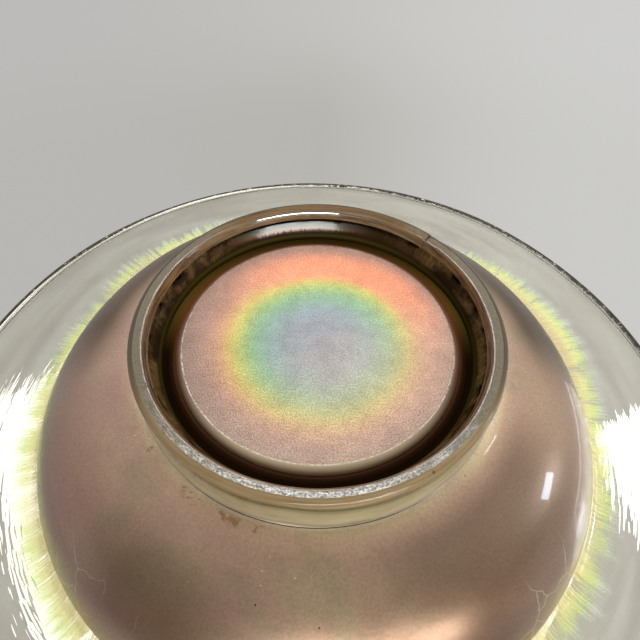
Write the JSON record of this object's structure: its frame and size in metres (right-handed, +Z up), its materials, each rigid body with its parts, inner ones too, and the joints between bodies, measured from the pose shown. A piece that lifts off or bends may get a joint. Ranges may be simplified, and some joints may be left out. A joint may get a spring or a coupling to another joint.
{
  "type": "art glass bowl",
  "caption": "Low, wide iridescent glass bowl with a flat clear stretched rim, an applied foot ring and a recessed satin base pad.",
  "frame": {"origin": "centre of the ground resting face under the foot ring, on the surface that the bowl stands on", "axes": "+Z straight up out of the mouth, along the axis that the glass was turned about; X and Y are alike"},
  "size_m": [0.254, 0.254, 0.0473],
  "materials": {
    "iridised_glass": "glossy mauve-brown glass under a lustrous iridescent film",
    "clear_glass": "clear glass with a faint grey-green tint, broken film streaks near the cup and a fire-polished lip",
    "foot_glass": "clear greenish glass, polished at the sides and ground to a frosted sparkle where it rests",
    "satin_glass": "fine-grained satin surface with a rainbow lustre"
  },
  "bodies": {
    "root": {"bowl_body": "iridised_glass", "rim_flange": "clear_glass", "foot_ring": "foot_glass", "base_pad": "satin_glass"}
  },
  "joints": []
}
